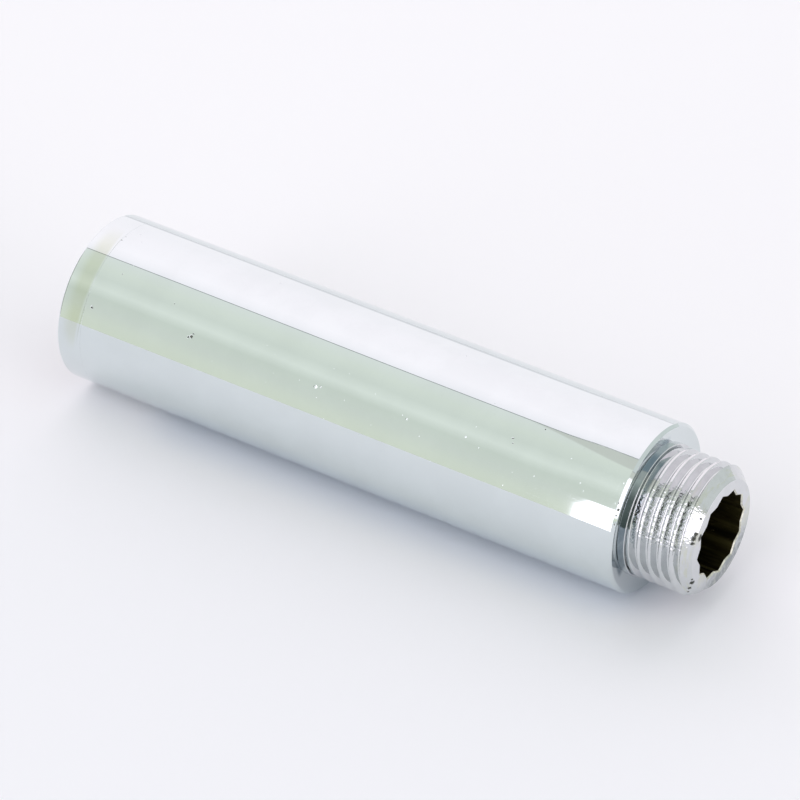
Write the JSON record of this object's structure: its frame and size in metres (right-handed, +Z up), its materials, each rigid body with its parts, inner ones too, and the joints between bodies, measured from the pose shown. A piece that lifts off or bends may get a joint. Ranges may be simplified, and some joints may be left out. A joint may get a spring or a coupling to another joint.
{
  "type": "pipe extension nipple",
  "caption": "Straight chrome-plated brass tap extension: a polished round barrel with a female pipe thread at one end and a male pipe thread with a 12-point key socket at the other.",
  "frame": {"origin": "centre of the female end face", "axes": "+X along the axis, from the female end towards the male end; +Z up when the extension lies level, as it does when it is screwed into a wall fitting"},
  "size_m": [0.111, 0.027, 0.027],
  "materials": {
    "polished_chrome": "mirror-polished chrome plate on brass, with fine hairline scratches and a few plating pits",
    "nipple_chrome": "chrome plate on a machined brass thread; the key socket and bore are dark, unplated brass",
    "socket_chrome": "mirror-polished chrome plate outside, thinly plated machined brass inside",
    "washer_rubber": "matt black rubber"
  },
  "bodies": {
    "root": {"barrel": "polished_chrome", "male_nipple": "nipple_chrome", "female_socket": "socket_chrome", "sealing_washer": "washer_rubber"}
  },
  "joints": []
}
